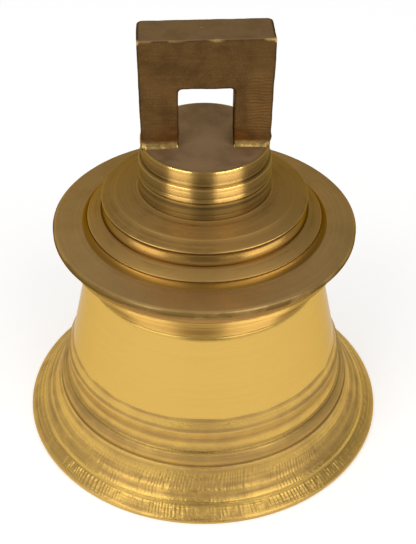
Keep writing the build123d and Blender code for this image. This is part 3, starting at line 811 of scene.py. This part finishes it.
BOSS_TOP_Z = 173.2
BOSS_TOP_R = 32.0
STUD_R, BLIND_Z = 8.0, 169.0       # the stud's blind hole in the boss
boss_outline = (
    Outline(STUD_R, UPPER_STEP_Z)
    .to(SPIGOT_R, UPPER_STEP_Z)
    .to(SPIGOT_R, BOSS_Z)
    .to(31.1, BOSS_Z)
    .to(31.9, BOSS_Z + 0.5, corner=0.2)
    .to(BOSS_TOP_R, BOSS_Z + 2.0)
    .to(31.8, BOSS_Z + 2.2)
    .to(32.05, BOSS_Z + 2.4)
    .to(32.25, BOSS_TOP_Z - 0.35)
    .to(31.9, BOSS_TOP_Z, corner=0.2)
    .to(0.0, BOSS_TOP_Z)
    .to(0.0, BLIND_Z)
    .to(STUD_R, BLIND_Z)
    .to(STUD_R, UPPER_STEP_Z)
)


def boss_top(x, y):
    """Height of the boss's top, which is slightly crowned and rises towards the back."""
    return BOSS_TOP_Z + 0.5 + 0.035 * y + 0.7 * (1 - (x * x + y * y) / BOSS_TOP_R**2)


boss = turned(
    "hanger_boss", "hanger_head", boss_outline, neck_brass,
    dull=lambda theta, r, z: 0.0 if z > BOSS_TOP_Z - 0.1 else 0.22,
    top=(BOSS_TOP_Z - 0.1, hanger_brass),
)
for vertex in boss.data.vertices:
    if vertex.co.z > (BOSS_TOP_Z - 0.5) * MM:
        vertex.co.z += (boss_top(vertex.co.x / MM, vertex.co.y / MM) - BOSS_TOP_Z) * MM

LUG_HALF_T = 11.0
LUG_TAPER = 0.85               # each side's foot is this far inside its top
LUG_LEAN = 1.2                 # the front face's foot is this far behind its top
LUG_ROOT_Z = BOSS_TOP_Z - 1.5
SLOT_HALF_W, SLOT_TOP_Z, SLOT_CORNER_R = 13.25, 204.9, 2.0
BEAD_RIM_R = 31.7              # the beads end just inside the boss's edge
BEAD_ROOT = 1.5                # how far they reach into the leg
# of each bead: front (-1) or back, left (-1) or right, how far it stands out, how high it climbs
BEADS = ((-1, -1, 0.8, 4.4), (-1, 1, 0.5, 3.6), (1, -1, 1.8, 3.0), (1, 1, 1.8, 3.0))


def bevel(bm, edges, offset, segments, **settings):
    bmesh.ops.bevel(
        bm, geom=edges, offset=offset, segments=segments, profile=0.5, affect="EDGES", **settings
    )


def add_lug_body(bm):
    """The square arch, its back edges well rounded and its top edges slightly."""
    half_foot = LUG_HALF_W - LUG_TAPER
    arch = [
        (-half_foot, LUG_ROOT_Z),
        (-LUG_HALF_W, TOP_Z),
        (LUG_HALF_W, TOP_Z),
        (half_foot, LUG_ROOT_Z),
        (SLOT_HALF_W, LUG_ROOT_Z),
    ]
    corner_x, corner_z = SLOT_HALF_W - SLOT_CORNER_R, SLOT_TOP_Z - SLOT_CORNER_R
    for side, turns in ((1, np.linspace(0, pi / 2, 6)), (-1, np.linspace(pi / 2, pi, 6))):
        for turn in turns:
            arch.append((side * corner_x + SLOT_CORNER_R * cos(turn), corner_z + SLOT_CORNER_R * sin(turn)))
    arch.append((-SLOT_HALF_W, LUG_ROOT_Z))
    lean = LUG_LEAN / (TOP_Z - LUG_ROOT_Z)
    bm.faces.new([bm.verts.new((x, -LUG_HALF_T + lean * (TOP_Z - z), z)) for x, z in arch])
    grown = bmesh.ops.extrude_face_region(bm, geom=bm.faces[:])
    for vertex in grown["geom"]:
        if isinstance(vertex, bmesh.types.BMVert):
            vertex.co.y = LUG_HALF_T
    bmesh.ops.recalc_face_normals(bm, faces=bm.faces)
    back_edges = []
    for edge in bm.edges:
        at_back = min(vertex.co.y for vertex in edge.verts) > 0
        outside = min(abs(vertex.co.x) for vertex in edge.verts) > SLOT_HALF_W + 1
        if at_back and outside and min(vertex.co.z for vertex in edge.verts) < TOP_Z - 1:
            back_edges.append(edge)
    bevel(bm, back_edges, 3.0, 6, clamp_overlap=True)
    top_edges = []
    for edge in bm.edges:
        at_top = min(vertex.co.z for vertex in edge.verts) > TOP_Z - 0.01
        if at_top and not edge.is_boundary and edge.calc_face_angle(0) > 0.5:
            top_edges.append(edge)
    bevel(bm, top_edges, 0.8, 3)


def add_bead(bm, facing, leg, out, rise):
    """Metal that fills the corner at the front or back of a foot, out to the boss's edge."""
    face_y = LUG_HALF_T - LUG_LEAN if facing < 0 else LUG_HALF_T
    ends = []
    for inner, reach_y in ((True, LUG_HALF_T + 0.3 * out), (False, LUG_HALF_T + out)):
        foot_z = boss_top(20.0 if inner else 28.0, facing * reach_y)
        section = [
            (face_y - BEAD_ROOT, LUG_ROOT_Z),
            (reach_y, LUG_ROOT_Z),
            (reach_y, foot_z),
            (face_y + 0.4 * (reach_y - face_y), foot_z + 0.36 * rise),
            (face_y - 0.1, foot_z + rise),
            (face_y - BEAD_ROOT, foot_z + rise),
        ]
        end = []
        for y, z in section:
            rim_x = min(LUG_HALF_W - LUG_TAPER - 0.7, np.sqrt(BEAD_RIM_R**2 - y**2))
            end.append(bm.verts.new((leg * (SLOT_HALF_W + 0.2 if inner else rim_x), facing * y, z)))
        ends.append(end)
    inner_end, outer_end = ends
    faces = [bm.faces.new(inner_end), bm.faces.new(outer_end[::-1])]
    for k, vertex in enumerate(inner_end):
        following = (k + 1) % len(section)
        faces.append(bm.faces.new((vertex, outer_end[k], outer_end[following], inner_end[following])))
    bmesh.ops.recalc_face_normals(bm, faces=faces)


def lug_mesh():
    """The lug in millimetres, remeshed so that its edges are soft like a casting's."""
    bm = bmesh.new()
    add_lug_body(bm)
    for facing, leg, out, rise in BEADS:
        add_bead(bm, facing, leg, out, rise)
    rough = bpy.data.meshes.new("lug")
    bm.to_mesh(rough)
    bm.free()
    holder = bpy.data.objects.new("lug", rough)
    bpy.context.collection.objects.link(holder)
    remesh = holder.modifiers.new("remesh", "REMESH")
    remesh.mode = "VOXEL"
    remesh.voxel_size = 0.5
    remesh.use_smooth_shade = True
    evaluated = holder.evaluated_get(bpy.context.evaluated_depsgraph_get())
    mesh = bpy.data.meshes.new_from_object(evaluated)
    bpy.data.objects.remove(holder)
    return mesh


def read_vertices(mesh, field="co"):
    values = np.empty(3 * len(mesh.vertices))
    mesh.vertices.foreach_get(field, values)
    return values.reshape(-1, 3)


def noise_at(points, scale):
    """Smooth noise from about -1 to 1 at each point; scale is its size along each axis."""
    return np.array([noise.noise(Vector(point)) for point in points / scale])


def mesh_wear(mesh, rounds=6):
    """Above 0 at outside edges, below 0 in corners: how far each vertex stands off its neighbours."""
    points, normals = read_vertices(mesh), read_vertices(mesh, "normal")
    edges = np.empty(2 * len(mesh.edges), int)
    mesh.edges.foreach_get("vertices", edges)
    a, b = edges.reshape(-1, 2).T
    links = np.bincount(a, minlength=len(points)) + np.bincount(b, minlength=len(points))

    def neighbour_mean(values):
        total = np.zeros_like(values)
        np.add.at(total, a, values[b])
        np.add.at(total, b, values[a])
        return total / links[:, None]

    smooth = points
    for _ in range(rounds):
        smooth = neighbour_mean(smooth)
    return ((points - smooth) * normals).sum(1)


def lug_rubbing_and_painted_light(mesh):
    """The front top edge and the beads are rubbed bright and partly painted as a highlight; the other
    outward edges, the front's outline, the slot's sides and the inside corners are painted dark as shade.
    """
    wear = np.clip(mesh_wear(mesh), -1, 1)
    points = read_vertices(mesh)
    x, y, z = points.T
    above_boss = z - boss_top(x, y)
    streaks = noise_at(points, np.array([3.5, 1.0, 0.9]))

    # a broken bright line along the front top edge: rubbed, and partly a painted highlight
    broken = np.array([noise.noise(Vector((along, 5.0, 0.0))) for along in x / 9.0])
    broken = np.clip(0.55 + 0.9 * broken + 0.5 * (x / 32.0) ** 6, 0.38, 1)
    rubbed_and_highlit_edge = np.clip((z - (TOP_Z - 2.5)) / 0.5, 0, 1) * (y < -9) * broken
    # the other outward edges are turned dark: painted shade
    wear = np.where(wear > 0, wear * (1.9 * rubbed_and_highlit_edge - 0.7), wear)

    # the beads: rubbed bright, and partly a painted highlight
    bead_face = (above_boss < 4.6) & (above_boss > -0.4) & (abs(y) > 9.4)
    fading = np.clip((4.5 - above_boss) / 3.4, 0, 1)
    wear = np.where(bead_face, (0.3 + 0.08 * streaks) * fading, wear)

    # the front's side edges: a painted dark outline, which is shade
    side_x = LUG_HALF_W - LUG_TAPER * np.clip((TOP_Z - z) / (TOP_Z - BOSS_TOP_Z), 0, 1)
    front_outline_shade = (abs(x) > side_x - 0.8) & (y < -9.2) & (z < TOP_Z - 2.5) & (above_boss > 4.6)
    wear = np.where(front_outline_shade, -0.11, wear)

    scratched = np.exp(-(((x + 1.5) / 2.4) ** 2) - ((y - 1.2) / 1.5) ** 2) * (z > TOP_Z - 2)
    wear += 0.3 * scratched * np.clip(0.6 + 1.5 * streaks, 0, 1)
    # the slot's sides: painted shade
    slot_side_shade = (abs(abs(x) - SLOT_HALF_W) < 0.8) & (z < SLOT_TOP_Z + 0.1) & (abs(y) < 10.4)
    return np.where(slot_side_shade, -0.12, wear)


def lug_filing(x, y, z):
    """How much the front is filed: mostly the right-hand leg, and a patch at the upper left."""
    filing = hump(x, 23.0, 29.0, 6.0) * hump(z, 184.0, 211.0, 6.0)
    filing += 0.45 * hump(x, -29.0, -15.0, 3.0) * hump(z, 196.0, 207.0, 4.0)
    return np.clip(filing * (y < -9) + 0.06, 0, 1)


def aged_lug(points, normals):
    """The lug's points, made as uneven as hand work and years of use leave it."""
    x, y, z = points.T.copy()
    uneven = 0.2 * noise_at(points, 9.0) + 0.07 * noise_at(points, 2.6) - 0.06
    points = points + normals * uneven[:, None]
    # the slot's right side has a little draft
    slot_right = (abs(x - SLOT_HALF_W) < 1.5) & (z < SLOT_TOP_Z + 0.3)
    points[:, 0] += 0.045 * np.clip(y + LUG_HALF_T, 0, 2 * LUG_HALF_T) * slot_right
    # the right-hand foot bulges a little over a notch
    foot = (x > 27) & (abs(y) < 10.8)
    points[:, 0] += foot * (0.5 * np.exp(-(((z - 178.6) / 1.7) ** 2)) - 0.45 * (z < 175.9))
    # the top is lower on the left, and its edges are hammered outwards, mostly at the back
    rise = np.clip((z - 215.0) / (TOP_Z - 215.0), 0, 1)
    points[:, 2] -= rise * 0.35 * (1 - x / LUG_HALF_W)
    points[:, 2] += rise**8 * 0.25
    points[:, 1] += np.where(y > 0, 1.0, -0.15) * rise**5
    points[:, 2] = np.minimum(points[:, 2], TOP_Z)
    points[:, 0] = np.clip(points[:, 0], -LUG_HALF_W, LUG_HALF_W)
    return points


def make_lug():
    mesh = lug_mesh()
    points, normals = read_vertices(mesh), read_vertices(mesh, "normal")
    wear = lug_rubbing_and_painted_light(mesh)
    mesh.vertices.foreach_set("co", (aged_lug(points, normals) * MM).ravel())
    # on the lug, the wear attribute also carries a painted highlight and painted shade
    set_attribute(mesh, "wear", wear)
    set_attribute(mesh, "dull", lug_filing(*points.T))
    mesh.materials.clear()
    mesh.materials.append(hanger_brass)
    mesh.update()
    lug = bpy.data.objects.new("hanger_lug", mesh)
    bpy.context.collection.objects.link(lug)
    stands_for(lug, "hanger_head")


make_lug()

# ---------------------------------------------------------------- clapper and fasteners

BALL_LOW, BALL_HIGH = low_mm("clapper_ball"), high_mm("clapper_ball")
BALL_R = BALL_HIGH.x
BALL_Z = BALL_LOW.z + BALL_R
ROD_HOLE_R, ROD_HOLE_Z = 5.0, 16.0
ball_outline = Outline(0.0, BALL_LOW.z)
for degrees in range(-87, 62, 3):
    turned_line = 0.25 if degrees in (-48, 0, 33) else 0.0
    turn = radians(degrees)
    ball_outline.to((BALL_R - turned_line) * cos(turn), BALL_Z + (BALL_R - turned_line) * sin(turn))
(
    ball_outline
    .to(10.0, BALL_HIGH.z, corner=0.3)
    .to(ROD_HOLE_R, BALL_HIGH.z)
    .to(ROD_HOLE_R, ROD_HOLE_Z)
    .to(0.0, ROD_HOLE_Z)
    .to(0.0, BALL_LOW.z)
)


def strike_marks(theta, r, z):
    """The ball is beaten flat where it meets the bell, on its two sides, and dented near there."""
    if r < 9:
        return np.zeros_like(theta)
    across = np.abs(np.sin(theta))
    struck = np.exp(-((across / 0.22) ** 2) - ((z - BALL_Z) / 4.5) ** 2)
    return -0.4 * struck - 0.05 * (1 + np.cos(9 * theta + z)) * np.exp(-((z - BALL_Z) / 9.0) ** 2)


turned(
    "clapper_ball_turned", "clapper_ball", ball_outline, ball_brass,
    segments=180, lift=strike_marks, dull=lambda theta, r, z: 0.45 + 0.25 * np.cos(2 * theta),
    body="clapper",
)

for names, material in (
    (("crown_screws", "hanger_stud", "crown_washer", "crown_nut", "end_nut", "end_nut_pin", "clevis_pin",
      "clevis_pin_cotter", "ball_lock_nut"), steel),
    (("clapper_yoke", "clapper_rod"), iron),
    (("thrust_washer", "front_hub_bush", "rear_hub_bush"), bronze),
):
    for name in names:
        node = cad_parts[name]
        node.data.materials.clear()
        node.data.materials.append(material)

# ---------------------------------------------------------------- stage, light and camera

floor_nodes = Nodes(bpy.data.materials.new("floor"))
floor_nodes.shader.inputs["Base Color"].default_value = (0.9, 0.9, 0.9, 1)
floor_nodes.shader.inputs["Roughness"].default_value = 0.9
floor_nodes.shader.inputs["Emission Color"].default_value = (1, 1, 1, 1)
floor_nodes.shader.inputs["Emission Strength"].default_value = 0.4
bpy.ops.mesh.primitive_plane_add(size=12)
floor = bpy.context.object
floor.name = "floor"
floor.data.materials.append(floor_nodes.owner)

LAMP_DISTANCE = 2.2


def softbox(name, azimuth, elevation, size, radiance):
    """A square area light aimed at the bell; azimuth is from the front, towards +X."""
    light = bpy.data.lights.new(name, "AREA")
    light.shape = "SQUARE"
    light.size = size
    light.energy = radiance * pi * size * size
    lamp = bpy.data.objects.new(name, light)
    turn, climb = radians(azimuth), radians(elevation)
    direction = Vector((sin(turn) * cos(climb), -cos(turn) * cos(climb), sin(climb)))
    lamp.location = Vector((0, 0, 0.1)) + LAMP_DISTANCE * direction
    lamp.rotation_euler = direction.to_track_quat("Z", "Y").to_euler()
    lamp.visible_camera = False
    bpy.context.collection.objects.link(lamp)
    return lamp


softbox("left_softbox", -47, 38, 1.5, 1.7)
softbox("right_softbox", 37, 38, 1.75, 1.5)


def lamps_for(name, pieces, radiance, left=-45, right=38, elevation=21):
    """A pair of lower lamps that light only these pieces."""
    group = bpy.data.collections.new(name)
    for piece in pieces:
        group.objects.link(piece)
    for side, azimuth, width in (("left", left, 1.4), ("right", right, 1.75)):
        lamp = softbox(f"{side}_{name}", azimuth, elevation, width, radiance)
        lamp.data.shape = "RECTANGLE"
        lamp.data.size_y = 0.7
        lamp.light_linking.receiver_collection = group


lamps_for("neck_lamp", [neck_bands[1], boss], 10.5)
lamps_for("shoulder_lamp", [bell_shoulder], 6.0)
lamps_for("step_lamp", [upper_ring, lower_ring], 2.0, left=-62, right=60, elevation=12)

# the room: white walls, dimmer overhead and to the right, with a gap where the camera stands
studio = Nodes(bpy.data.worlds.new("studio"))
bpy.context.scene.world = studio.owner
split = studio.add("ShaderNodeSeparateXYZ")
studio.link(studio.add("ShaderNodeTexCoord").outputs["Generated"], split.inputs[0])
x, y, z = split.outputs
level = studio.hypotenuse(x, y)
in_front = studio.math("DIVIDE", studio.math("MULTIPLY", y, -1.0), studio.math("MAXIMUM", level, 1e-4))
gap = studio.math("MULTIPLY", studio.ramp(in_front, 0.90, 0.985, 0.0, 0.5), studio.ramp(z, -0.12, 0.02))
gap = studio.math("MULTIPLY", gap, studio.ramp(z, 0.98, 0.85))
brightness = studio.ramp(z, 0.0, 0.62, 1.0, 0.45)
brightness = studio.math("MULTIPLY", brightness, studio.ramp(x, -1.0, 1.0, 1.06, 0.66))
brightness = studio.math("ADD", brightness, studio.ramp(z, 0.72, 0.95, 0.0, 0.16))
brightness = studio.math("MULTIPLY", brightness, studio.math("SUBTRACT", 1.0, gap))
background = studio.tree.nodes["Background"]
background.inputs["Color"].default_value = (1, 1, 1, 1)
studio.link(brightness, background.inputs["Strength"])

CAMERA_ELEVATION = 37.605
CAMERA_YAW = -3.0
CAMERA_DISTANCE = 0.58555
CAMERA_TARGET = Vector((0, 0, 0.08884))
CAMERA_PAN = 0.208
CAMERA_ROLL = 0.39
CAMERA_LENS, SENSOR = 71.46, 36.0       # millimetres; the sensor's side runs along the picture's height

yaw = Matrix.Rotation(radians(CAMERA_YAW), 3, "Z")
tilt = radians(CAMERA_ELEVATION)
forward = Vector((0, cos(tilt), -sin(tilt)))
right = Vector((1, 0, 0))
up = right.cross(forward)
place = CAMERA_TARGET - CAMERA_DISTANCE * (yaw @ forward)
pan = radians(CAMERA_PAN)
forward, right = cos(pan) * forward + sin(pan) * right, cos(pan) * right - sin(pan) * forward
roll = radians(CAMERA_ROLL)
right, up = cos(roll) * right + sin(roll) * up, cos(roll) * up - sin(roll) * right
basis = yaw @ Matrix((right, up, -forward)).transposed()

camera_data = bpy.data.cameras.new("camera")
camera_data.sensor_width = SENSOR
camera_data.lens = CAMERA_LENS
camera_data.clip_start = 0.01
camera = bpy.data.objects.new("camera", camera_data)
camera.matrix_world = Matrix.Translation(place) @ basis.to_4x4()
bpy.context.collection.objects.link(camera)
bpy.context.scene.camera = camera
bpy.context.scene.view_settings.view_transform = "Standard"
